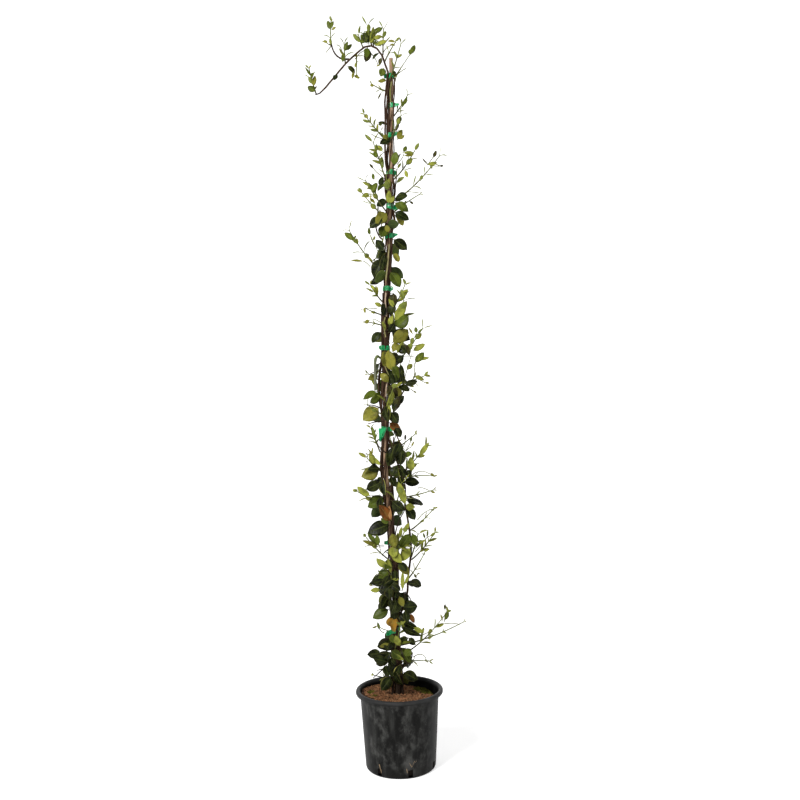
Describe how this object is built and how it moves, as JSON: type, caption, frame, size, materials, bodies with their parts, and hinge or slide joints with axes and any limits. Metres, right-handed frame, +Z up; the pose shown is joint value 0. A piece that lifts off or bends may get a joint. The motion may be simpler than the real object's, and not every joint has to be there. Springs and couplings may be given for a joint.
{
  "type": "potted star jasmine",
  "caption": "Star jasmine in a charcoal nursery pot, tied up a 180 cm bamboo cane with green tape, with dark mature leaves and light young shoots.",
  "frame": {"origin": "middle of the pot's base, on the plane that it rests on", "axes": "+Z up along the cane; the plant's best side faces -Y and +X is its right, seen from there"},
  "size_m": [0.3806, 0.22, 1.8908],
  "materials": {
    "pot_plastic": "matte, dusty",
    "coir": "rough",
    "bamboo": "satin",
    "tie_tape": "semi-gloss",
    "mature_leaf": "semi-gloss",
    "young_leaf": "semi-gloss",
    "old_wood": "matte"
  },
  "bodies": {
    "root": {"pot": "pot_plastic", "soil": "coir", "cane": "bamboo", "tie_01": "tie_tape", "tie_02": "tie_tape", "tie_03": "tie_tape", "tie_04": "tie_tape", "tie_05": "tie_tape", "tie_06": "tie_tape", "tie_07": "tie_tape", "tie_08": "tie_tape", "tie_09": "tie_tape", "tie_10": "tie_tape", "tie_11": "tie_tape", "stem_a": "mature_leaf", "stem_b": "mature_leaf", "stem_c": "mature_leaf", "shoot_01": "young_leaf", "shoot_02": "young_leaf", "shoot_03": "young_leaf", "shoot_04": "young_leaf", "shoot_05": "young_leaf", "shoot_06": "young_leaf", "shoot_07": "young_leaf", "shoot_08": "young_leaf", "shoot_09": "young_leaf", "shoot_10": "young_leaf", "shoot_11": "young_leaf", "shoot_12": "young_leaf", "shoot_13": "young_leaf", "shoot_14": "young_leaf", "shoot_15": "young_leaf", "shoot_16": "young_leaf", "shoot_17": "young_leaf", "shoot_18": "young_leaf", "shoot_19": "young_leaf", "shoot_20": "young_leaf", "shoot_21": "young_leaf", "shoot_22": "young_leaf", "shoot_23": "young_leaf", "shoot_24": "young_leaf", "shoot_25": "young_leaf", "shoot_26": "young_leaf", "shoot_27": "young_leaf", "shoot_28": "young_leaf", "shoot_29": "young_leaf", "shoot_30": "young_leaf", "shoot_31": "young_leaf", "shoot_32": "young_leaf", "shoot_33": "young_leaf", "shoot_34": "young_leaf", "shoot_35": "young_leaf", "shoot_36": "young_leaf", "shoot_37": "young_leaf", "shoot_38": "young_leaf", "shoot_39": "young_leaf", "shoot_40": "young_leaf", "cut_stub": "old_wood"}
  },
  "joints": []
}
